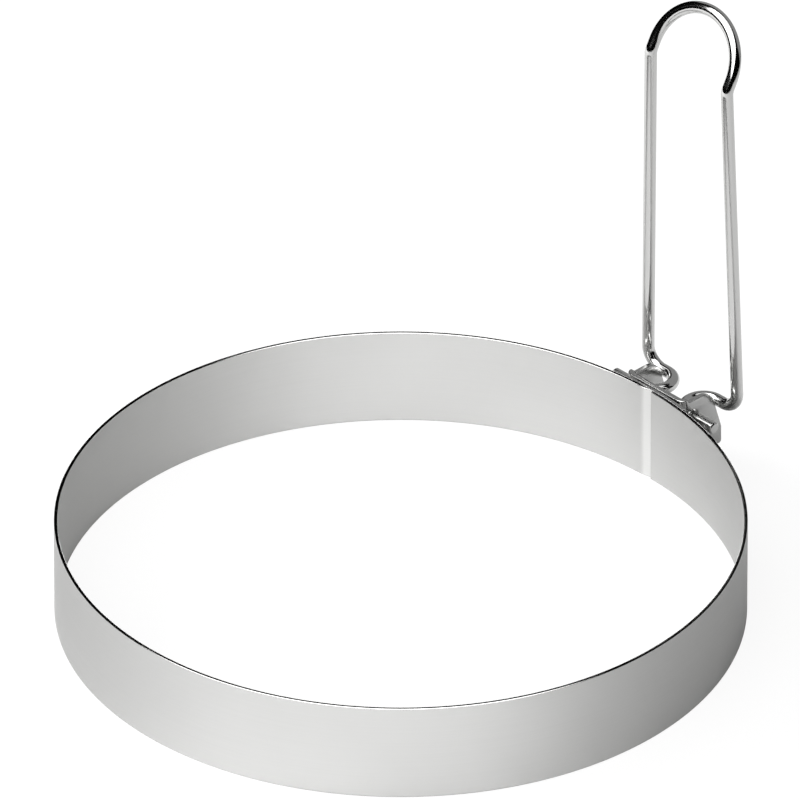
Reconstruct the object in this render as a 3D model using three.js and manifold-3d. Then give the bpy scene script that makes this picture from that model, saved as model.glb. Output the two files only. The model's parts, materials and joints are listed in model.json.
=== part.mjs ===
// Egg ring with a fold-down wire handle.
// Millimetres, +Z up. The ring stands on its lower edge and the hinge is on its +X side.
// The model is drawn about the ring's own axis, then moved so that the origin lies
// under the middle of the whole object's box.
import * as THREE from 'three';
import { mergeVertices } from 'three/addons/utils/BufferGeometryUtils.js';
import Module from 'manifold-3d';

// Ring band: a strip of sheet bent to a hoop and butt-welded
const ringDiameter = 110;
const bandHeight = 16.6;
const bandThickness = 0.6;
const bandEdgeBevel = 0.12;

// Seam strap: a curved plate welded over the joint in the band
const strapWidth = 16.6;
const strapHeight = 10.6;
const strapThickness = 0.7;
const strapDrop = 0.4;
const strapCorner = 0.8;

// Hinge bracket: a flat web on the strap, with an ear bent out at each end
const bracketSheet = 0.9;
const bracketBend = 0.3;
const earSpacing = 13;
const earDrop = 1.05;
const earHeight = 10.7;
const earShoulder = 3.1;
const earFlare = 1.4;
const earFlareLength = 4.5;
const earFootCorner = 0.6;
const webDrop = 0.4;
const webStep = 0.7;

// Wire handle: one length of round wire, bent alike on both sides
const wireDiameter = 2;
const hingeDrop = 4.06;
const hookRadius = 3.15;
const hookInset = 0.78;
const tailOut = 4.9;
const legOut = 3.7;
const legFootBend = 3.2;
const legHeight = 60;
const legLean = 1.24;
const loopWidth = 17.24;
const loopTilt = 28.7;
const loopRise = 1.72;
const kneeBend = 2.5;

// Clearances
const weldGap = 0.2;
const holeClearance = 0.25;
const stopGap = 0.3;

// How finely round shapes are divided
const bandSegments = 144;
const strapSegments = 12;
const cornerSegments = 5;
const shoulderSegments = 8;
const holeSegments = 20;
const wireSides = 12;
const bendStep = 11.5;
const shortestRun = 0.02;

// Places that follow from the sizes above
const ringRadius = ringDiameter / 2;
const strapInner = ringRadius + weldGap;
const strapOuter = strapInner + strapThickness;
const webInner = strapOuter + weldGap;
const webOuter = webInner + bracketSheet;
const earOutside = earSpacing / 2;
const earTop = bandHeight - earDrop;
const earBottom = earTop - earHeight;
const wireRadius = wireDiameter / 2;
const holeRadius = wireRadius + holeClearance;
const hingeX = webOuter + bracketBend + holeRadius;
const hingeZ = bandHeight - hingeDrop;
const legFootX = hingeX + 2 * hookRadius;
const stopEdge = legFootX - wireRadius - stopGap;

const wasm = await Module();
wasm.setup();

// A closed three.js geometry as a solid that can be cut and joined
function solidOf(geometry) {
  geometry.deleteAttribute('normal');
  geometry.deleteAttribute('uv');
  const welded = mergeVertices(geometry);
  return new wasm.Manifold(new wasm.Mesh({
    numProp: 3,
    vertProperties: welded.attributes.position.array,
    triVerts: Uint32Array.from(welded.index.array),
  }));
}

// A cut or joined solid as a three.js geometry
function geometryOf(solid) {
  const { vertProperties, triVerts } = solid.getMesh();
  const geometry = new THREE.BufferGeometry();
  geometry.setAttribute('position', new THREE.BufferAttribute(vertProperties, 3));
  geometry.setIndex(new THREE.BufferAttribute(triVerts, 1));
  geometry.computeVertexNormals();
  return geometry;
}

// A plan outline in X and Y, raised from one height to another
function raised(outline, bottom, top, curveSegments) {
  const options = { depth: top - bottom, bevelEnabled: false, curveSegments };
  return new THREE.ExtrudeGeometry(outline, options).translate(0, 0, bottom);
}

// A side outline in X and Z, carried across to both sides of the middle plane
function carriedAcross(outline, halfWidth, curveSegments) {
  const options = { depth: 2 * halfWidth, bevelEnabled: false, curveSegments };
  return new THREE.ExtrudeGeometry(outline, options).rotateX(Math.PI / 2).translate(0, halfWidth, 0);
}

// The hoop is a revolved wall whose four edges are broken
function ringBandGeometry() {
  const innerRadius = ringRadius - bandThickness;
  const bevel = bandEdgeBevel;
  const profile = [
    new THREE.Vector2(innerRadius + bevel, 0),
    new THREE.Vector2(ringRadius - bevel, 0),
    new THREE.Vector2(ringRadius, bevel),
    new THREE.Vector2(ringRadius, bandHeight - bevel),
    new THREE.Vector2(ringRadius - bevel, bandHeight),
    new THREE.Vector2(innerRadius + bevel, bandHeight),
    new THREE.Vector2(innerRadius, bandHeight - bevel),
    new THREE.Vector2(innerRadius, bevel),
    new THREE.Vector2(innerRadius + bevel, 0),
  ];
  return new THREE.LatheGeometry(profile, bandSegments).rotateX(Math.PI / 2);
}

// The strap is a slice of a tube, trimmed to a plate with round corners
function seamStrapGeometry() {
  const halfWidth = strapWidth / 2;
  const top = bandHeight - strapDrop;
  const bottom = top - strapHeight;
  const halfAngle = Math.asin(halfWidth / strapInner);
  const slice = new THREE.Shape();
  slice.absarc(0, 0, strapOuter, -halfAngle, halfAngle, false);
  slice.absarc(0, 0, strapInner, halfAngle, -halfAngle, true);
  slice.closePath();

  const corner = strapCorner;
  const plate = new THREE.Shape();
  plate.moveTo(corner - halfWidth, bottom);
  plate.absarc(halfWidth - corner, bottom + corner, corner, -Math.PI / 2, 0, false);
  plate.absarc(halfWidth - corner, top - corner, corner, 0, Math.PI / 2, false);
  plate.absarc(corner - halfWidth, top - corner, corner, Math.PI / 2, Math.PI, false);
  plate.absarc(corner - halfWidth, bottom + corner, corner, Math.PI, 1.5 * Math.PI, false);
  const options = { depth: 2 * strapOuter, bevelEnabled: false, curveSegments: cornerSegments };
  const punch = new THREE.ExtrudeGeometry(plate, options).rotateX(Math.PI / 2).rotateZ(Math.PI / 2);

  const tube = solidOf(raised(slice, bottom, top, strapSegments));
  return geometryOf(tube.intersect(solidOf(punch)));
}

// The sheet seen from above: a U with round bends, its ears left long
function bracketSheetOutline(earEnd) {
  const outerBend = bracketBend + bracketSheet;
  const earInside = earOutside - bracketSheet;
  const bendX = webInner + outerBend;
  const bendY = earOutside - outerBend;
  const outline = new THREE.Shape();
  outline.moveTo(earEnd, -earOutside);
  outline.lineTo(earEnd, -earInside);
  outline.absarc(bendX, -bendY, bracketBend, -Math.PI / 2, -Math.PI, true);
  outline.absarc(bendX, bendY, bracketBend, Math.PI, Math.PI / 2, true);
  outline.lineTo(earEnd, earInside);
  outline.lineTo(earEnd, earOutside);
  outline.absarc(bendX, bendY, outerBend, Math.PI / 2, Math.PI, false);
  outline.absarc(bendX, -bendY, outerBend, Math.PI, 1.5 * Math.PI, false);
  outline.closePath();
  return outline;
}

// The bracket seen from the side: the web stands a little higher than the ears, each ear has
// a round shoulder for the hook to swing past and a foot that stops it from swinging outward
function bracketSideOutline(webBack, footX) {
  const webTop = bandHeight - webDrop;
  const earStart = webOuter + bracketBend;
  const flareZ = earTop - earShoulder - earFlareLength;
  const foot = earFootCorner;
  const outline = new THREE.Shape();
  outline.moveTo(webBack, earBottom);
  outline.lineTo(footX - foot, earBottom);
  outline.absarc(footX - foot, earBottom + foot, foot, -Math.PI / 2, 0, false);
  outline.lineTo(footX, flareZ);
  outline.lineTo(stopEdge, earTop - earShoulder);
  outline.absarc(stopEdge - earShoulder, earTop - earShoulder, earShoulder, 0, Math.PI / 2, false);
  outline.lineTo(earStart + webStep, earTop);
  outline.quadraticCurveTo(earStart, earTop, earStart, webTop);
  outline.lineTo(webBack, webTop);
  outline.closePath();
  return outline;
}

function hingeBracketGeometry() {
  const footX = stopEdge + earFlare;
  const blankMargin = bracketSheet;
  const sheet = raised(
    bracketSheetOutline(footX + blankMargin),
    earBottom - blankMargin,
    bandHeight + blankMargin,
    cornerSegments,
  );
  const side = carriedAcross(
    bracketSideOutline(webInner - blankMargin, footX),
    earOutside + blankMargin,
    shoulderSegments,
  );
  const drillLength = earSpacing + 2 * blankMargin;
  const drill = new THREE.CylinderGeometry(holeRadius, holeRadius, drillLength, holeSegments);
  drill.translate(hingeX, 0, hingeZ);
  return geometryOf(solidOf(sheet).intersect(solidOf(side)).subtract(solidOf(drill)));
}

// A round bend between two straight runs of wire that would meet at a corner
class WireBend extends THREE.Curve {
  constructor(corner, before, after, radius) {
    super();
    this.angle = before.angleTo(after);
    this.radius = radius;
    this.along = before;
    this.inward = after.clone().addScaledVector(before, -Math.cos(this.angle)).normalize();
    const setback = radius * Math.tan(this.angle / 2);
    this.start = corner.clone().addScaledVector(before, -setback);
    this.end = corner.clone().addScaledVector(after, setback);
    this.steps = Math.ceil(THREE.MathUtils.radToDeg(this.angle) / bendStep);
  }

  getPoint(t, target = new THREE.Vector3()) {
    const turned = this.angle * t;
    return target.copy(this.start)
      .addScaledVector(this.along, this.radius * Math.sin(turned))
      .addScaledVector(this.inward, this.radius * (1 - Math.cos(turned)));
  }

  getTangent(t, target = new THREE.Vector3()) {
    const turned = this.angle * t;
    return target.copy(this.along)
      .multiplyScalar(Math.cos(turned))
      .addScaledVector(this.inward, Math.sin(turned));
  }
}

// A bent wire: straight runs of one step each, and bends of several steps
class BentWire extends THREE.Curve {
  constructor(corners) {
    super();
    const directions = corners.slice(1).map((corner, i) => corner.at.clone().sub(corners[i].at).normalize());
    this.runs = [];
    let from = corners[0].at;
    for (let i = 1; i < corners.length - 1; i += 1) {
      const bend = new WireBend(corners[i].at, directions[i - 1], directions[i], corners[i].bend);
      this.addStraight(from, bend.start);
      this.runs.push(bend);
      from = bend.end;
    }
    this.addStraight(from, corners.at(-1).at);
    this.steps = this.runs.reduce((sum, run) => sum + run.steps, 0);
  }

  // Bends that follow on from each other have no straight run between them
  addStraight(from, to) {
    if (from.distanceTo(to) < shortestRun) return;
    const run = new THREE.LineCurve3(from, to);
    run.steps = 1;
    this.runs.push(run);
  }

  // The run that holds a place on the wire, and how far along that run it is
  locate(t) {
    let station = t * this.steps;
    for (const run of this.runs.slice(0, -1)) {
      if (station < run.steps) return [run, station / run.steps];
      station -= run.steps;
    }
    const last = this.runs.at(-1);
    return [last, station / last.steps];
  }

  getUtoTmapping(u) {
    return u;
  }

  getPoint(t, target) {
    const [run, along] = this.locate(t);
    return run.getPoint(along, target);
  }

  getTangent(t, target) {
    const [run, along] = this.locate(t);
    return run.getTangent(along, target);
  }
}

// The wire's corners from the free end of one hook up to the top of the loop, on the +Y side
function handleCorners() {
  const hookY = earOutside - hookInset - hookRadius;
  const legFootY = earOutside + legOut;
  const loopRadius = loopWidth / 2;
  const lean = THREE.MathUtils.degToRad(legLean);
  const tilt = THREE.MathUtils.degToRad(loopTilt);
  const kneeX = legFootX - legHeight * Math.tan(lean);
  const kneeZ = hingeZ + legHeight;
  const loopReach = loopRise + loopRadius;
  const loopX = kneeX + loopReach * Math.sin(tilt);
  const loopZ = kneeZ + loopReach * Math.cos(tilt);
  return [
    { at: new THREE.Vector3(hingeX, earOutside + tailOut, hingeZ) },
    { at: new THREE.Vector3(hingeX, hookY, hingeZ), bend: hookRadius },
    { at: new THREE.Vector3(legFootX, hookY, hingeZ), bend: hookRadius },
    { at: new THREE.Vector3(legFootX, legFootY, hingeZ), bend: legFootBend },
    { at: new THREE.Vector3(kneeX, loopRadius, kneeZ), bend: kneeBend },
    { at: new THREE.Vector3(loopX, loopRadius, loopZ), bend: loopRadius },
  ];
}

function wireHandleGeometry() {
  const oneSide = handleCorners();
  const acrossMiddle = new THREE.Vector3(1, -1, 1);
  const otherSide = oneSide.map(({ at, bend }) => ({ at: at.clone().multiply(acrossMiddle), bend }));
  const path = new BentWire([...oneSide, ...otherSide.reverse()]);
  const section = new THREE.Shape().absarc(0, 0, wireRadius, 0, 2 * Math.PI, false);
  const options = { steps: path.steps, extrudePath: path, curveSegments: wireSides / 2 };
  return new THREE.ExtrudeGeometry(section, options);
}

function steel(color, roughness) {
  return new THREE.MeshStandardMaterial({ color, roughness, metalness: 1 });
}

function piece(name, geometry, material) {
  const mesh = new THREE.Mesh(geometry, material);
  mesh.name = name;
  return mesh;
}

const satinSteel = steel(0xc8c8c6, 0.35);
const pressedSteel = steel(0xb4b4b2, 0.3);
const polishedWire = steel(0xdcdcda, 0.12);

const eggRing = new THREE.Group();
eggRing.add(
  piece('ring_band', ringBandGeometry(), satinSteel),
  piece('seam_strap', seamStrapGeometry(), pressedSteel),
  piece('hinge_bracket', hingeBracketGeometry(), pressedSteel),
  piece('wire_handle', wireHandleGeometry(), polishedWire),
);

// Stand the origin under the middle of the box
const middle = new THREE.Box3().setFromObject(eggRing, true).getCenter(new THREE.Vector3());
eggRing.position.set(-middle.x, -middle.y, 0);

export default eggRing;
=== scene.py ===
import json
import math

import bmesh
import bpy
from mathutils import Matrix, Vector


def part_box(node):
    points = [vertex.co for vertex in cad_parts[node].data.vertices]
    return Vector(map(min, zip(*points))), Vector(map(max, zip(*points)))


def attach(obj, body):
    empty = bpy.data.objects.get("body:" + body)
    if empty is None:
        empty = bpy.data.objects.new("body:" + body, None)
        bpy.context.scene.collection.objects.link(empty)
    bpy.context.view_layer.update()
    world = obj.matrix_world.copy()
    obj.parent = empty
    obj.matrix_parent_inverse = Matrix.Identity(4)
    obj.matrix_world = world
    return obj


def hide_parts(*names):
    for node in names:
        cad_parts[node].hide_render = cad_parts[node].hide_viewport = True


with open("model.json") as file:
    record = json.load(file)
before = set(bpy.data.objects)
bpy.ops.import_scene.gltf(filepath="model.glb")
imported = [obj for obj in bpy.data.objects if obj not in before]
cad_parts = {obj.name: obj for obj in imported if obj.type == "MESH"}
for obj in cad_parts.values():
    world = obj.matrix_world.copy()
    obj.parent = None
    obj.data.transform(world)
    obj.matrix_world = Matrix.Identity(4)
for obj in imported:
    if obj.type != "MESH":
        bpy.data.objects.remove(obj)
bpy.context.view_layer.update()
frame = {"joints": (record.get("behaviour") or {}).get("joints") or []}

mm = 0.001                     # the pieces' sizes are in mm, unless a note gives another unit

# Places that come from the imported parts, in metres
bandLow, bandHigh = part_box("ring_band")
strapLow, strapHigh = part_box("seam_strap")
bracketLow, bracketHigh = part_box("hinge_bracket")
ringMiddle = Vector(((bandLow.x + bandHigh.x) / 2, 0, 0))
ringRadius = (bandHigh.x - bandLow.x) / 2
bandHeight = bandHigh.z
hingeAxis = Vector(frame["joints"][0]["pos_m"])


def linear(hexColour):
    parts = [int(hexColour[i:i + 2], 16) / 255 for i in (1, 3, 5)]
    return [p / 12.92 if p <= 0.04045 else ((p + 0.055) / 1.055) ** 2.4 for p in parts] + [1]


def addNode(tree, kind, inputs=None, **settings):
    node = tree.nodes.new(kind)
    for name, value in settings.items():
        setattr(node, name, value)
    for socket, value in (inputs or {}).items():
        if isinstance(value, bpy.types.NodeSocket):
            tree.links.new(value, node.inputs[socket])
        else:
            node.inputs[socket].default_value = value
    return node


def newMaterial(name):
    material = bpy.data.materials.new(name)
    material.use_nodes = True
    material.node_tree.nodes.clear()
    return material, material.node_tree


# Cold-rolled stainless sheet, satin finished by a belt that ran along the strip: a soft grey sheen that
# spreads up and down the wall and faint lines round the ring. The rim's flat sheared top is painted dark, a
# painted reflection of the dark room, between two bright round edges, and the lap's face is painted paler, a
# painted highlight
satinSheet = {
    "colour": "#cdcdcc",
    # painted shade: the rim's flat top is darkened to stand for the dark room it reflects
    "paintedRimShadeColour": "#6a6a69",
    # painted highlight: the lap's stepped face is lightened to stand for the light it catches
    "paintedLapHighlightColour": "#d8d8d7",
    "roughness": 0.6,
    "roughnessSwing": 0.05,
    "wearRange": (0.6, 1.4),   # of the two noises added up
    "edgeRoughness": 0.16,
    "spread": 0.5,             # how far the sheen stretches across the lines
    "spreadTurn": 0.25,        # of a full turn, so that it stretches up the wall
    "linePitch": 0.32,         # mm, coarser than the real grit so that it shows
    "lineLength": 45.0,        # mm
    "lineDepth": 0.0006,       # mm
    "cloudSize": 14.0,         # mm, slow changes left by handling
}


def satinStainlessSheet():
    s = satinSheet
    material, tree = newMaterial("satinStainlessSheet")
    place = addNode(tree, "ShaderNodeTexCoord").outputs["Object"]
    fromMiddle = addNode(tree, "ShaderNodeVectorMath", {0: place, 1: ringMiddle}, operation="SUBTRACT")
    parts = addNode(tree, "ShaderNodeSeparateXYZ", {0: fromMiddle.outputs[0]})
    angle = addNode(tree, "ShaderNodeMath", {0: parts.outputs[1], 1: parts.outputs[0]}, operation="ARCTAN2")
    along = addNode(tree, "ShaderNodeMath", {0: angle.outputs[0], 1: ringRadius}, operation="MULTIPLY")
    unrolled = addNode(tree, "ShaderNodeCombineXYZ", {0: along.outputs[0], 1: parts.outputs[2]})
    lines = addNode(tree, "ShaderNodeMapping", {
        "Vector": unrolled.outputs[0],
        "Scale": (1 / (s["lineLength"] * mm), 1 / (s["linePitch"] * mm), 1)})
    grit = addNode(tree, "ShaderNodeTexNoise", {
        "Vector": lines.outputs[0], "Scale": 1.0, "Detail": 3.0, "Roughness": 0.6})
    clouds = addNode(tree, "ShaderNodeTexNoise", {
        "Vector": place, "Scale": 1 / (s["cloudSize"] * mm), "Detail": 2.0})
    wear = addNode(tree, "ShaderNodeMath", {0: grit.outputs[0], 1: clouds.outputs[0]}, operation="ADD")
    rough = addNode(tree, "ShaderNodeMapRange", {
        "Value": wear.outputs[0], "From Min": s["wearRange"][0], "From Max": s["wearRange"][1],
        "To Min": s["roughness"] - s["roughnessSwing"], "To Max": s["roughness"] + s["roughnessSwing"]})
    edge = addNode(tree, "ShaderNodeAttribute", attribute_name="edge")
    edgeRough = addNode(tree, "ShaderNodeMix", {
        "Factor": edge.outputs["Fac"], "A": rough.outputs[0], "B": s["edgeRoughness"]})
    # painted highlight on the lap's stepped face
    lap = addNode(tree, "ShaderNodeAttribute", attribute_name="lap")
    face = addNode(tree, "ShaderNodeMix", {
        "Factor": lap.outputs["Fac"], 6: linear(s["colour"]), 7: linear(s["paintedLapHighlightColour"])}, data_type="RGBA")
    # painted shade on the rim's flat top, which the cut attribute marks
    cut = addNode(tree, "ShaderNodeAttribute", attribute_name="cut")
    colour = addNode(tree, "ShaderNodeMix", {
        "Factor": cut.outputs["Fac"], 6: face.outputs[2], 7: linear(s["paintedRimShadeColour"])}, data_type="RGBA")
    bump = addNode(tree, "ShaderNodeBump", {
        "Height": grit.outputs[0], "Strength": 1.0, "Distance": s["lineDepth"] * mm})
    shader = addNode(tree, "ShaderNodeBsdfPrincipled", {
        "Base Color": colour.outputs[2], "Metallic": 1.0, "Roughness": edgeRough.outputs["Result"],
        "Anisotropic": s["spread"], "Anisotropic Rotation": s["spreadTurn"], "Normal": bump.outputs[0]})
    addNode(tree, "ShaderNodeOutputMaterial", {"Surface": shader.outputs[0]})
    return material


# Stainless sheet that was blanked and pressed: smoother than the band, so that it mirrors the wire beside it,
# with the mill's straight grain still on its flat faces
pressedSheet = {
    "colour": "#c8c8c7",
    "roughness": 0.2,
    "roughnessSwing": 0.07,
    "grainRange": (0.3, 0.7),  # of the noise
    "grainPitch": 0.42,        # mm, coarser than the real grain so that it shows
    "grainLength": 9.0,        # mm
    "grainDepth": 0.009,       # mm
}


def pressedStainlessSheet():
    s = pressedSheet
    material, tree = newMaterial("pressedStainlessSheet")
    blank = addNode(tree, "ShaderNodeAttribute", attribute_name="blank")
    grainPlace = addNode(tree, "ShaderNodeMapping", {
        "Vector": blank.outputs["Vector"],
        "Scale": (1 / (s["grainLength"] * mm), 1 / (s["grainPitch"] * mm), 1)})
    grain = addNode(tree, "ShaderNodeTexNoise", {
        "Vector": grainPlace.outputs[0], "Scale": 1.0, "Detail": 4.0, "Roughness": 0.65})
    rough = addNode(tree, "ShaderNodeMapRange", {
        "Value": grain.outputs[0], "From Min": s["grainRange"][0], "From Max": s["grainRange"][1],
        "To Min": s["roughness"] - s["roughnessSwing"], "To Max": s["roughness"] + s["roughnessSwing"]})
    bump = addNode(tree, "ShaderNodeBump", {
        "Height": grain.outputs[0], "Strength": 1.0, "Distance": s["grainDepth"] * mm})
    shader = addNode(tree, "ShaderNodeBsdfPrincipled", {
        "Base Color": linear(s["colour"]), "Metallic": 1.0, "Roughness": rough.outputs[0],
        "Normal": bump.outputs[0]})
    addNode(tree, "ShaderNodeOutputMaterial", {"Surface": shader.outputs[0]})
    return material


# Drawn stainless wire, barrel polished: almost a mirror, with faint lines along it from the die
polishedWire = {
    "colour": "#dadad9",
    "roughness": 0.11,
    "roughnessSwing": 0.03,
    "lineRange": (0.3, 0.7),   # of the noise
    "linesRound": 26.0,        # die lines round the wire, fewer than the real ones so that they show
    "lineLength": 30.0,        # mm
}


def polishedStainlessWire():
    s = polishedWire
    material, tree = newMaterial("polishedStainlessWire")
    along = addNode(tree, "ShaderNodeAttribute", attribute_name="along")
    around = addNode(tree, "ShaderNodeAttribute", attribute_name="around")
    linePlace = addNode(tree, "ShaderNodeCombineXYZ", {
        0: along.outputs["Fac"], 1: around.outputs["Fac"]})
    lineScale = addNode(tree, "ShaderNodeMapping", {
        "Vector": linePlace.outputs[0], "Scale": (1 / (s["lineLength"] * mm), s["linesRound"], 1)})
    lines = addNode(tree, "ShaderNodeTexNoise", {
        "Vector": lineScale.outputs[0], "Scale": 1.0, "Detail": 2.0})
    rough = addNode(tree, "ShaderNodeMapRange", {
        "Value": lines.outputs[0], "From Min": s["lineRange"][0], "From Max": s["lineRange"][1],
        "To Min": s["roughness"] - s["roughnessSwing"], "To Max": s["roughness"] + s["roughnessSwing"]})
    shader = addNode(tree, "ShaderNodeBsdfPrincipled", {
        "Base Color": linear(s["colour"]), "Metallic": 1.0, "Roughness": rough.outputs[0]})
    addNode(tree, "ShaderNodeOutputMaterial", {"Surface": shader.outputs[0]})
    return material


# A line of points that a node tree sweeps a section along, with one number per point for each attribute
def pathObject(name, points, closed, attributes):
    count = len(points)
    edges = [(i, (i + 1) % count) for i in range(count if closed else count - 1)]
    mesh = bpy.data.meshes.new(name)
    mesh.from_pydata(points, edges, [])
    for label, values in attributes.items():
        mesh.attributes.new(label, "FLOAT", "POINT").data.foreach_set("value", values)
    path = bpy.data.objects.new(name, mesh)
    bpy.context.scene.collection.objects.link(path)
    return path


def newSweepTree(name, sockets):
    tree = bpy.data.node_groups.new(name, "GeometryNodeTree")
    tree.interface.new_socket("Geometry", in_out="INPUT", socket_type="NodeSocketGeometry")
    for label, kind in sockets:
        tree.interface.new_socket(label, in_out="INPUT", socket_type=kind)
    tree.interface.new_socket("Geometry", in_out="OUTPUT", socket_type="NodeSocketGeometry")
    return tree


# Gives the path its tree and sizes, then keeps the result as a plain mesh
def sweep(path, tree, sizes):
    modifier = path.modifiers.new("sweep", "NODES")
    modifier.node_group = tree
    for item in tree.interface.items_tree:
        if item.in_out == "INPUT" and item.name in sizes:
            modifier[item.identifier] = sizes[item.name]
    keepMesh(path)


def keepMesh(piece):
    graph = bpy.context.evaluated_depsgraph_get()
    mesh = bpy.data.meshes.new_from_object(
        piece.evaluated_get(graph), preserve_all_data_layers=True, depsgraph=graph)
    piece.modifiers.clear()
    old = piece.data
    piece.data = mesh
    mesh.name = piece.name
    bpy.data.meshes.remove(old)


# Lets the wide faces set the normals, so that the rounded edges do not shade them
def flattenNormals(piece):
    weighted = piece.modifiers.new("flatFaces", "WEIGHTED_NORMAL")
    weighted.mode = "FACE_AREA"
    weighted.weight = 100      # the most it takes
    keepMesh(piece)


def endOfSweep(tree, mesh, material, sharpAngle):
    angle = addNode(tree, "GeometryNodeInputMeshEdgeAngle")
    sharp = addNode(tree, "FunctionNodeCompare", {
        "A": angle.outputs[0], "B": math.radians(sharpAngle)}, operation="GREATER_THAN")
    smooth = addNode(tree, "GeometryNodeSetShadeSmooth", {"Geometry": mesh})
    crisp = addNode(tree, "GeometryNodeSetShadeSmooth", {
        "Geometry": smooth.outputs[0], "Selection": sharp.outputs[0], "Shade Smooth": False}, domain="EDGE")
    real = addNode(tree, "GeometryNodeRealizeInstances", {"Geometry": crisp.outputs[0]})
    dressed = addNode(tree, "GeometryNodeSetMaterial", {"Geometry": real.outputs[0], "Material": material})
    addNode(tree, "NodeGroupOutput", {0: dressed.outputs[0]})


# Ring band: a thin wall carried round a circle. At the seam one end bends outwards and tucks behind
# the other
ringBand = {
    "thickness": 0.6,
    "edgeRound": 0.16,
    "edgeSteps": 6,
    "edgeShare": 0.9,          # share of the round edge, from the rim down, that is smooth
    "cutShare": 0.01,          # and that is the sheared cut
    "sharpAngle": 60,          # degrees
    "pathStep": 0.75,          # degrees
    "lapStart": 1.45,          # along the wall from the hinge's middle plane
    "lapEnd": -1.1,
    "lapBend": 1.0,
    "lapDepth": 0.5,
    "lapFade": 0.25,           # share of the depth over which the painted highlight on the lap's face brightens
    "lapLip": 0.08,
    "lapStep": 0.08,
    "lapMargin": 1.0,          # the fine steps go on this far past the lap
}


def bandTree():
    tree = newSweepTree("bandWall", [
        ("Wall Thickness", "NodeSocketFloat"), ("Wall Height", "NodeSocketFloat"),
        ("Edge Round", "NodeSocketFloat"), ("Edge Steps", "NodeSocketInt"),
        ("Material", "NodeSocketMaterial")])
    given = addNode(tree, "NodeGroupInput").outputs
    circle = addNode(tree, "GeometryNodeMeshToCurve", {"Mesh": given["Geometry"]})
    upright = addNode(tree, "GeometryNodeSetCurveNormal", {"Curve": circle.outputs[0]}, mode="Z_UP")
    section = addNode(tree, "GeometryNodeCurvePrimitiveQuadrilateral", {
        "Width": given["Wall Thickness"], "Height": given["Wall Height"]})
    rounded = addNode(tree, "GeometryNodeFilletCurve", {
        "Curve": section.outputs[0], "Count": given["Edge Steps"],
        "Radius": given["Edge Round"]}, mode="POLY")
    wall = addNode(tree, "GeometryNodeCurveToMesh", {
        "Curve": upright.outputs[0], "Profile Curve": rounded.outputs[0]})
    endOfSweep(tree, wall.outputs[0], given["Material"], ringBand["sharpAngle"])
    return tree


# How far the inner face steps back at a place along the wall, from 0 to the lap's full depth
def lapDepthAt(distance):
    b = ringBand
    inLap = b["lapStart"] - distance
    length = b["lapStart"] - b["lapEnd"]
    slope = b["lapDepth"] / (length - b["lapBend"] / 2)
    if inLap < b["lapBend"]:
        depth = slope * max(0, inLap) ** 2 / (2 * b["lapBend"])
    else:
        depth = slope * (inLap - b["lapBend"] / 2)
    return depth if inLap < length + b["lapLip"] / 2 else 0


def makeRingBand(material):
    b = ringBand
    wallMiddle = ringRadius - b["thickness"] * mm / 2
    fineStart, fineStop = b["lapEnd"] - b["lapMargin"], b["lapStart"] + b["lapMargin"]
    fineSteps = round((fineStop - fineStart) / b["lapStep"])
    fineAngle = (fineStop - fineStart) * mm / ringRadius
    coarseSteps = round((360 - math.degrees(fineAngle)) / b["pathStep"])
    angles = [fineStart * mm / ringRadius + fineAngle * i / fineSteps for i in range(fineSteps)]
    angles += [
        fineStop * mm / ringRadius + (2 * math.pi - fineAngle) * i / coarseSteps for i in range(coarseSteps)]
    points = [
        (ringMiddle.x + wallMiddle * math.cos(a), wallMiddle * math.sin(a), bandHeight / 2) for a in angles]
    band = pathObject("ringBandWall", points, True, {})
    sweep(band, bandTree(), {
        "Wall Thickness": b["thickness"] * mm, "Wall Height": bandHeight,
        "Edge Round": b["edgeRound"] * mm, "Edge Steps": b["edgeSteps"], "Material": material})

    edges, cuts, laps = [], [], []
    for vertex in band.data.vertices:
        out = Vector((vertex.co.x - ringMiddle.x, vertex.co.y, 0))
        depth = lapDepthAt(math.atan2(out.y, out.x) * ringRadius / mm)
        # how much painted highlight the stepped face gets
        laps.append(min(1.0, depth / (b["lapDepth"] * b["lapFade"])))
        vertex.co += out.normalized() * (ringRadius - out.length) * depth / b["thickness"]
        fromRim = min(bandHeight - vertex.co.z, vertex.co.z) / (b["edgeRound"] * mm)
        edges.append(1.0 if fromRim < b["edgeShare"] else 0.0)
        # the flat top of each rim, which takes the painted shade
        cuts.append(1.0 if fromRim < b["cutShare"] else 0.0)
    for label, values in (("edge", edges), ("cut", cuts), ("lap", laps)):
        band.data.attributes.new(label, "FLOAT", "POINT").data.foreach_set("value", values)
    flattenNormals(band)
    print("ring band:", len(band.data.polygons), "faces")
    return band


# Wire handle: corner points with bend radii, rounded and swept by the node tree
wireHandle = {
    "diameter": 2.0,
    "hookRadius": 3.15,
    "hookMiddle": 2.57,        # the hook's crosswise runs start this far from the middle plane
    "tailEnd": 11.4,
    "legFoot": 10.2,
    "legFootBend": 3.2,
    "legHeight": 60.0,
    "legLean": 1.24,           # degrees
    "loopWidth": 17.24,
    "loopTilt": 28.7,          # degrees
    "loopRise": 1.72,
    "kneeBend": 2.5,
    "bendTrim": 0.9999,        # share of each bend radius, so that two bends never quite meet
    "endChamfer": 0.22,
    "chamferCrown": 0.3,       # share of the chamfer that is cut halfway along it
    "sides": 40,
    "bendSteps": 28,
    "sharpAngle": 30,          # degrees
}


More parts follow.
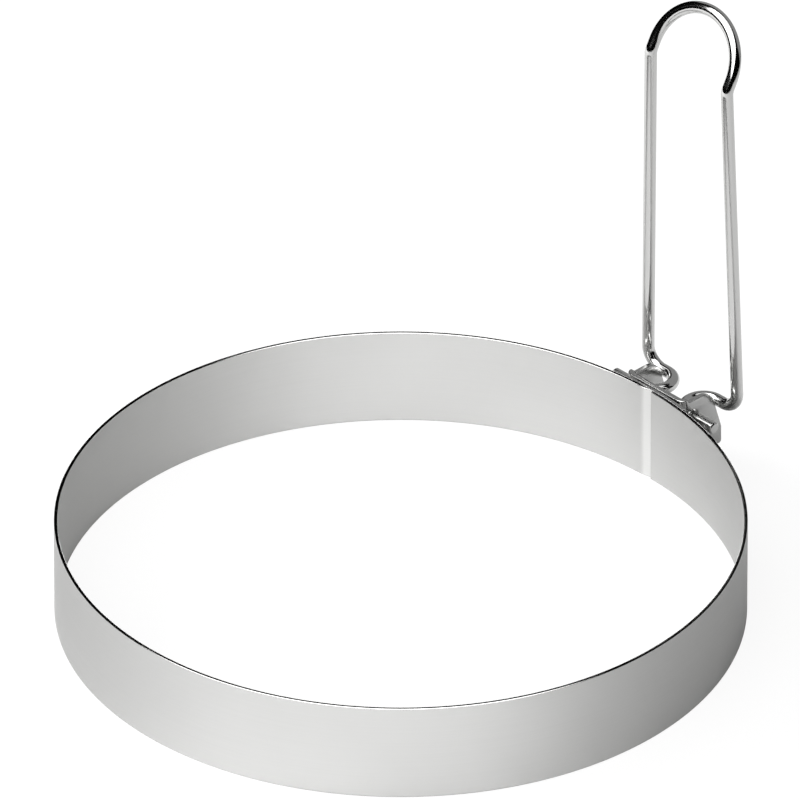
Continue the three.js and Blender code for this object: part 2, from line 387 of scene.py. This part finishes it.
def wireTree():
    tree = newSweepTree("bentWire", [
        ("Sides", "NodeSocketInt"), ("Bend Steps", "NodeSocketInt"), ("Material", "NodeSocketMaterial")])
    given = addNode(tree, "NodeGroupInput").outputs
    bend = addNode(tree, "GeometryNodeInputNamedAttribute", {"Name": "bendRadius"}, data_type="FLOAT")
    size = addNode(tree, "GeometryNodeInputNamedAttribute", {"Name": "wireRadius"}, data_type="FLOAT")
    place = addNode(tree, "GeometryNodeSplineParameter")
    line = addNode(tree, "GeometryNodeMeshToCurve", {"Mesh": given["Geometry"]})
    bent = addNode(tree, "GeometryNodeFilletCurve", {
        "Curve": line.outputs[0], "Count": given["Bend Steps"], "Radius": bend.outputs[0]}, mode="POLY")
    measured = addNode(tree, "GeometryNodeStoreNamedAttribute", {
        "Geometry": bent.outputs[0], "Name": "along", "Value": place.outputs["Length"]},
        data_type="FLOAT", domain="POINT")
    section = addNode(tree, "GeometryNodeCurvePrimitiveCircle", {"Resolution": given["Sides"], "Radius": 1.0})
    turned = addNode(tree, "GeometryNodeStoreNamedAttribute", {
        "Geometry": section.outputs[0], "Name": "around", "Value": place.outputs["Factor"]},
        data_type="FLOAT", domain="POINT")
    wire = addNode(tree, "GeometryNodeCurveToMesh", {
        "Curve": measured.outputs[0], "Profile Curve": turned.outputs[0],
        "Scale": size.outputs[0], "Fill Caps": True})
    endOfSweep(tree, wire.outputs[0], given["Material"], wireHandle["sharpAngle"])
    return tree


# One half of the wire from its free end to the top of the loop: place in mm from the hinge's middle,
# bend radius and wire radius at each corner
def halfWire():
    w = wireHandle
    radius = w["diameter"] / 2
    lean, tilt = math.radians(w["legLean"]), math.radians(w["loopTilt"])
    legFootX = 2 * w["hookRadius"]
    kneeX = legFootX - w["legHeight"] * math.tan(lean)
    loopRadius = w["loopWidth"] / 2
    loopReach = w["loopRise"] + loopRadius
    return [
        ((0, w["tailEnd"], 0), 0, radius - w["endChamfer"]),
        ((0, w["tailEnd"] - w["endChamfer"] / 2, 0), 0, radius - w["chamferCrown"] * w["endChamfer"]),
        ((0, w["tailEnd"] - w["endChamfer"], 0), 0, radius),
        ((0, w["hookMiddle"], 0), w["hookRadius"], radius),
        ((legFootX, w["hookMiddle"], 0), w["hookRadius"], radius),
        ((legFootX, w["legFoot"], 0), w["legFootBend"], radius),
        ((kneeX, loopRadius, w["legHeight"]), w["kneeBend"], radius),
        ((kneeX + loopReach * math.sin(tilt), loopRadius, w["legHeight"] + loopReach * math.cos(tilt)),
         loopRadius, radius),
    ]


def makeWireHandle(material):
    w = wireHandle
    half = halfWire()
    corners = half + [((x, -y, z), bend, size) for (x, y, z), bend, size in reversed(half)]
    points = [hingeAxis + Vector(place) * mm for place, bend, size in corners]
    wire = pathObject("bentWireHandle", points, False, {
        "bendRadius": [bend * mm * w["bendTrim"] for place, bend, size in corners],
        "wireRadius": [size * mm for place, bend, size in corners]})
    sweep(wire, wireTree(), {"Sides": w["sides"], "Bend Steps": w["bendSteps"], "Material": material})
    print("wire handle:", len(wire.data.polygons), "faces")
    return wire


def arc(middle, radius, start, stop, steps):
    return [
        (middle[0] + radius * math.cos(math.radians(start + (stop - start) * i / steps)),
         middle[1] + radius * math.sin(math.radians(start + (stop - start) * i / steps)))
        for i in range(steps + 1)]


# How a flat blank is meshed
blankMesh = {"edgeSteps": 2, "mergeDistance": 0.002, "cutDistance": 0.001}


# A flat blank with round edges, cut finely enough to be bent
def flatBlank(name, outlines, thickness, edgeRound, lengthCuts, heightCuts):
    curve = bpy.data.curves.new(name, "CURVE")
    curve.dimensions = "2D"
    curve.fill_mode = "BOTH"
    curve.extrude = (thickness / 2 - edgeRound) * mm
    curve.bevel_depth = edgeRound * mm
    curve.bevel_resolution = blankMesh["edgeSteps"]
    curve.offset = -edgeRound * mm
    for outline in outlines:
        spline = curve.splines.new("POLY")
        spline.points.add(len(outline) - 1)
        for point, (length, height) in zip(spline.points, outline):
            point.co = (length * mm, height * mm, 0, 1)
        spline.use_cyclic_u = True
    blank = bpy.data.objects.new(name, curve)
    bpy.context.scene.collection.objects.link(blank)
    graph = bpy.context.evaluated_depsgraph_get()
    mesh = bpy.data.meshes.new_from_object(blank.evaluated_get(graph))
    bpy.data.objects.remove(blank)

    sheet = bmesh.new()
    sheet.from_mesh(mesh)
    bmesh.ops.remove_doubles(sheet, verts=sheet.verts, dist=blankMesh["mergeDistance"] * mm)
    for cuts, direction in ((lengthCuts, Vector((1, 0, 0))), (heightCuts, Vector((0, 1, 0)))):
        for cut in cuts:
            everything = sheet.verts[:] + sheet.edges[:] + sheet.faces[:]
            bmesh.ops.bisect_plane(
                sheet, geom=everything, dist=blankMesh["cutDistance"] * mm,
                plane_co=direction * cut * mm, plane_no=direction)
    return sheet, mesh


# Bends a flat blank by a rule from (length, height, outward) in mm to a place in metres. Its flat place is
# kept for the grain
def bendBlank(name, sheet, mesh, rule, material):
    flatPlaces = [vertex.co.copy() for vertex in sheet.verts]
    for vertex in sheet.verts:
        vertex.co = rule(*(vertex.co / mm))
    bmesh.ops.recalc_face_normals(sheet, faces=sheet.faces)
    for face in sheet.faces:
        face.smooth = True
    sheet.to_mesh(mesh)
    sheet.free()
    mesh.name = name
    mesh.materials.clear()
    mesh.materials.append(material)
    blankPlace = mesh.attributes.new("blank", "FLOAT_VECTOR", "POINT")
    blankPlace.data.foreach_set("vector", [number for place in flatPlaces for number in place])
    piece = bpy.data.objects.new(name, mesh)
    bpy.context.scene.collection.objects.link(piece)
    flattenNormals(piece)
    print(name + ":", len(piece.data.polygons), "faces")
    return piece


# Seam strap: a small plate curved to the band and spot-welded over its joint
seamStrap = {
    "corner": 0.8,
    "cornerSteps": 8,
    "contactGap": 0.03,
    "edgeRound": 0.16,
    "cutStep": 0.6,
}


def makeSeamStrap(material):
    s = seamStrap
    inner = ringRadius / mm + s["contactGap"]
    outer = (strapHigh.x - ringMiddle.x) / mm
    middle = (inner + outer) / 2
    halfLength = math.asin(strapHigh.y / mm / middle) * middle
    bottom, top = strapLow.z / mm, strapHigh.z / mm
    corner, steps = s["corner"], s["cornerSteps"]
    right, low, high = halfLength - corner, bottom + corner, top - corner
    outline = (
        arc((right, low), corner, -90, 0, steps) + arc((right, high), corner, 0, 90, steps)
        + arc((-right, high), corner, 90, 180, steps) + arc((-right, low), corner, 180, 270, steps))
    cutCount = int(halfLength / s["cutStep"])
    cuts = [s["cutStep"] * i for i in range(-cutCount, cutCount + 1)]
    sheet, mesh = flatBlank("strapBlank", [outline], outer - inner, s["edgeRound"], cuts, [])

    def rollToBand(length, height, outward):
        angle = length / middle
        reach = (middle + outward) * mm
        return Vector((ringMiddle.x + reach * math.cos(angle), reach * math.sin(angle), height * mm))

    return bendBlank("seamStrapPlate", sheet, mesh, rollToBand, material)


# Hinge bracket: a blank with two ears, folded to a U round the hooks
hingeBracket = {
    "sheet": 0.9,
    "bend": 0.3,
    "earTop": 15.55,
    "earShoulder": 3.1,
    "shoulderSteps": 14,
    "earFlare": 1.4,
    "earFlareLength": 4.5,
    "footCorner": 0.6,
    "footSteps": 6,
    "webStep": 0.7,            # over which the ear's top edge runs into the web's
    "dipSteps": 8,
    "holeRadius": 1.25,
    "holeSteps": 40,
    "edgeRound": 0.14,
    "bendCuts": 8,
    "webCut": 0.3,
    "dimpleRadius": 1.3,       # spot welds
    "dimpleDepth": 0.14,
    "dimpleSpacing": 4.6,
}


def makeHingeBracket(material):
    b = hingeBracket
    webInner = (bracketLow.x - ringMiddle.x) / mm
    footX = (bracketHigh.x - ringMiddle.x) / mm
    bottom, webTop = bracketLow.z / mm, bracketHigh.z / mm
    outside = bracketHigh.y / mm
    bendMiddle = b["bend"] + b["sheet"] / 2
    webHalf = outside - b["bend"] - b["sheet"]
    bendLength = math.pi / 2 * bendMiddle
    earStart = webInner + b["sheet"] + b["bend"]
    stopEdge = footX - b["earFlare"]
    shoulderZ = b["earTop"] - b["earShoulder"]
    holeX = (hingeAxis.x - ringMiddle.x) / mm
    holeZ = hingeAxis.z / mm

    def along(x):
        return webHalf + bendLength + x - earStart

    step = b["webStep"]
    dipPoints = [
        (along(earStart + step * (1 - t) ** 2), b["earTop"] + (webTop - b["earTop"]) * t ** 2)
        for t in (i / b["dipSteps"] for i in range(b["dipSteps"] + 1))]
    foot = b["footCorner"]
    rightHalf = (
        arc((along(footX - foot), bottom + foot), foot, -90, 0, b["footSteps"])
        + [(along(footX), shoulderZ - b["earFlareLength"])]
        + arc((along(stopEdge - b["earShoulder"]), shoulderZ), b["earShoulder"], 0, 90, b["shoulderSteps"])
        + dipPoints)
    leftHalf = [(-length, height) for length, height in reversed(rightHalf)]
    hole = arc((along(holeX), holeZ), b["holeRadius"], 0, 360, b["holeSteps"])[:-1]
    otherHole = [(-length, height) for length, height in hole]
    bendCuts = [webHalf + bendLength * i / b["bendCuts"] for i in range(b["bendCuts"] + 1)]
    webCuts = [b["webCut"] * i for i in range(int(webHalf / b["webCut"]) + 1)]
    lengthCuts = sorted({sign * cut for cut in bendCuts + webCuts for sign in (-1, 1)})
    heightCuts = [bottom + b["webCut"] * i for i in range(1, int((webTop - bottom) / b["webCut"]) + 1)]
    sheet, mesh = flatBlank(
        "bracketBlank", [rightHalf + leftHalf, hole, otherHole], b["sheet"], b["edgeRound"],
        lengthCuts, heightCuts)

    weldHeight = (bottom + webTop) / 2

    def dimple(length, height):
        away = math.hypot(abs(length) - b["dimpleSpacing"] / 2, height - weldHeight) / b["dimpleRadius"]
        return b["dimpleDepth"] * (1 - away * away) ** 2 if away < 1 else 0

    def foldToU(length, height, outward):
        side = 1 if length >= 0 else -1
        past = abs(length) - webHalf
        if outward < 0:
            outward += dimple(length, height)
        reach = bendMiddle + outward
        turn = min(1, max(0, past / bendLength)) * math.pi / 2
        x = earStart - reach * math.cos(turn) + max(0, past - bendLength)
        y = side * (min(abs(length), webHalf) + reach * math.sin(turn))
        return Vector((ringMiddle.x + x * mm, y * mm, height * mm))

    return bendBlank("hingeBracketSheet", sheet, mesh, foldToU, material)


# Photo's viewing direction and frame
view = {
    "azimuth": -44.0,          # degrees
    "elevation": 32.8,
    "distance": 5.0,           # m
    "frameWidth": 126.47,      # mm across the picture at the ring's axis
    "aimHeight": 38.9,         # mm up the ring's axis at the middle of the picture
    "aimRight": -0.124,
    "sensor": 36.0,
    "clip": (0.1, 50),         # m
}
azimuth, elevation = math.radians(view["azimuth"]), math.radians(view["elevation"])
photoRight = Vector((math.cos(azimuth), math.sin(azimuth), 0))
photoBack = Vector((-math.sin(azimuth), math.cos(azimuth), 0))


def fromPhoto(right, back, up):
    return photoRight * right + photoBack * back + Vector((0, 0, up))


def makeCamera():
    towardCamera = fromPhoto(0, -math.cos(elevation), math.sin(elevation))
    aim = ringMiddle + fromPhoto(view["aimRight"], 0, view["aimHeight"]) * mm
    data = bpy.data.cameras.new("photoCamera")
    data.sensor_width = view["sensor"]
    data.lens = view["sensor"] * view["distance"] / (view["frameWidth"] * mm)
    data.clip_start, data.clip_end = view["clip"]
    camera = bpy.data.objects.new("photoCamera", data)
    camera.location = aim + towardCamera * view["distance"]
    camera.rotation_euler = (-towardCamera).to_track_quat("-Z", "Y").to_euler()
    bpy.context.scene.collection.objects.link(camera)
    bpy.context.scene.camera = camera


# Softboxes in metres, each placed by its direction in the photo's frame: right, back, up. Each one lights
# only the pieces that are named with it, as if flags kept it off the others
softboxes = {
    "frontSoftbox": {
        "toward": (-0.18, -0.64, 0.75), "distance": 0.6, "size": (1.8, 0.85), "glow": 3.4,
        "lights": ["ringBandWall"]},
    "rearSoftbox": {
        "toward": (0.0, 0.99, 0.13), "distance": 0.8, "size": (0.7, 0.2), "glow": 4.0,
        "lights": ["ringBandWall"]},
    "sideSoftbox": {
        "toward": (-0.83, 0.3, 0.47), "distance": 1.0, "size": (0.5, 0.5), "glow": 21.5,
        "lights": ["tableTop"]},
    "overheadSoftbox": {
        "toward": (-0.37, -0.28, 0.89), "distance": 1.0, "size": (1.35, 1.35), "glow": 3.0,
        "lights": ["seamStrapPlate", "hingeBracketSheet", "bentWireHandle", "tableTop"]},
    "backCard": {
        "toward": (0.58, 0.70, 0.42), "distance": 1.0, "size": (2.2, 1.1), "glow": 0.3,
        "lights": ["seamStrapPlate", "hingeBracketSheet", "bentWireHandle"]},
}


def makeSoftbox(name, box):
    data = bpy.data.lights.new(name, "AREA")
    data.shape = "RECTANGLE"
    data.size, data.size_y = box["size"]
    # Watts that give its face that brightness
    data.energy = box["glow"] * math.pi * box["size"][0] * box["size"][1]
    lamp = bpy.data.objects.new(name, data)
    toward = fromPhoto(*box["toward"]).normalized()
    lamp.location = ringMiddle + toward * box["distance"]
    lamp.rotation_euler = (-toward).to_track_quat("-Z", "Y").to_euler()
    lamp.visible_camera = False
    lit = bpy.data.collections.new(name)
    for piece in box["lights"]:
        lit.objects.link(bpy.data.objects[piece])
    lamp.light_linking.receiver_collection = lit
    bpy.context.scene.collection.objects.link(lamp)


# Strength of the world: white for the camera and the metal alike, and a little fill for the floor
studio = {"fill": 0.02, "background": 1.0}


# 1 for any of the named kinds of ray, else 0
def rayIs(tree, kinds):
    rays = addNode(tree, "ShaderNodeLightPath").outputs
    found = rays[kinds[0]]
    for kind in kinds[1:]:
        found = addNode(tree, "ShaderNodeMath", {0: found, 1: rays[kind]}, operation="MAXIMUM").outputs[0]
    return found


def makeStudio():
    world = bpy.data.worlds.new("studio")
    bpy.context.scene.world = world
    world.use_nodes = True
    world.cycles.sampling_method = "NONE"
    tree = world.node_tree
    tree.nodes.clear()
    white = rayIs(tree, ["Is Camera Ray", "Is Glossy Ray", "Is Transmission Ray"])
    strength = addNode(tree, "ShaderNodeMix", {
        "Factor": white, "A": studio["fill"], "B": studio["background"]})
    light = addNode(tree, "ShaderNodeBackground", {
        "Color": (1, 1, 1, 1), "Strength": strength.outputs["Result"]})
    addNode(tree, "ShaderNodeOutputWorld", {"Surface": light.outputs[0]})


# Black flags in metres: an open drum outside the softboxes, which gives polished metal its dark reflections.
# The camera looks through it
blackFlags = {"colour": "#080808", "radius": 2.5, "bottom": -3.0, "top": 5.4, "sides": 48}


def makeFlags():
    f = blackFlags
    turns = [2 * math.pi * i / f["sides"] for i in range(f["sides"])]
    ring = [(f["radius"] * math.cos(a), f["radius"] * math.sin(a)) for a in turns]
    points = [(x, y, f["bottom"]) for x, y in ring] + [(x, y, f["top"]) for x, y in ring]
    nextOf = [(i + 1) % f["sides"] for i in range(f["sides"])]
    mesh = bpy.data.meshes.new("blackFlags")
    mesh.from_pydata(points, [], [(i, i + f["sides"], j + f["sides"], j) for i, j in enumerate(nextOf)])
    material, tree = newMaterial("blackFelt")
    felt = addNode(tree, "ShaderNodeBsdfDiffuse", {"Color": linear(f["colour"])})
    addNode(tree, "ShaderNodeOutputMaterial", {"Surface": felt.outputs[0]})
    mesh.materials.append(material)
    flags = bpy.data.objects.new("blackFlags", mesh)
    flags.visible_camera = False
    flags.visible_diffuse = False
    flags.visible_shadow = False
    bpy.context.scene.collection.objects.link(flags)


# A round table of pale grey matt board. The metal mirrors it as it is lit. The camera sees it lifted to the
# white of the background, apart from a faint shadow
tableTop = {
    "colour": "#bebebe",
    "radius": 0.4,             # m
    "sides": 96,
    "below": 0.02,             # clear of the ring's lower edge
    "lift": 0.9,
    "shadowShare": 0.2,
}


def makeFloor():
    f = tableTop
    turns = [2 * math.pi * i / f["sides"] for i in range(f["sides"])]
    mesh = bpy.data.meshes.new("tableTop")
    mesh.from_pydata(
        [(f["radius"] * math.cos(a), f["radius"] * math.sin(a), -f["below"] * mm) for a in turns],
        [], [range(f["sides"])])
    material, tree = newMaterial("mattBoard")
    board = addNode(tree, "ShaderNodeBsdfDiffuse", {"Color": linear(f["colour"])})
    shadowColour = [f["shadowShare"] * part for part in linear(f["colour"])]
    shadow = addNode(tree, "ShaderNodeBsdfDiffuse", {"Color": shadowColour})
    glow = addNode(tree, "ShaderNodeEmission", {"Strength": f["lift"]})
    lifted = addNode(tree, "ShaderNodeAddShader", {0: shadow.outputs[0], 1: glow.outputs[0]})
    surface = addNode(tree, "ShaderNodeMixShader", {
        0: rayIs(tree, ["Is Camera Ray", "Is Transmission Ray"]), 1: board.outputs[0], 2: lifted.outputs[0]})
    addNode(tree, "ShaderNodeOutputMaterial", {"Surface": surface.outputs[0]})
    mesh.materials.append(material)
    floor = bpy.data.objects.new("tableTop", mesh)
    bpy.context.scene.collection.objects.link(floor)


satinSteel = satinStainlessSheet()
pressedSteel = pressedStainlessSheet()
polishedSteel = polishedStainlessWire()
print("three finishes are made")

band = makeRingBand(satinSteel)
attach(band, "ring")
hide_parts("ring_band")

strap = makeSeamStrap(pressedSteel)
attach(strap, "ring")
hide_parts("seam_strap")

bracket = makeHingeBracket(pressedSteel)
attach(bracket, "ring")
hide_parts("hinge_bracket")

wire = makeWireHandle(polishedSteel)
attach(wire, "handle")
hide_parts("wire_handle")

makeCamera()
makeStudio()
makeFlags()
makeFloor()
for name, box in softboxes.items():
    makeSoftbox(name, box)
bpy.context.scene.view_settings.view_transform = "Standard"
print("camera, floor and light are set")
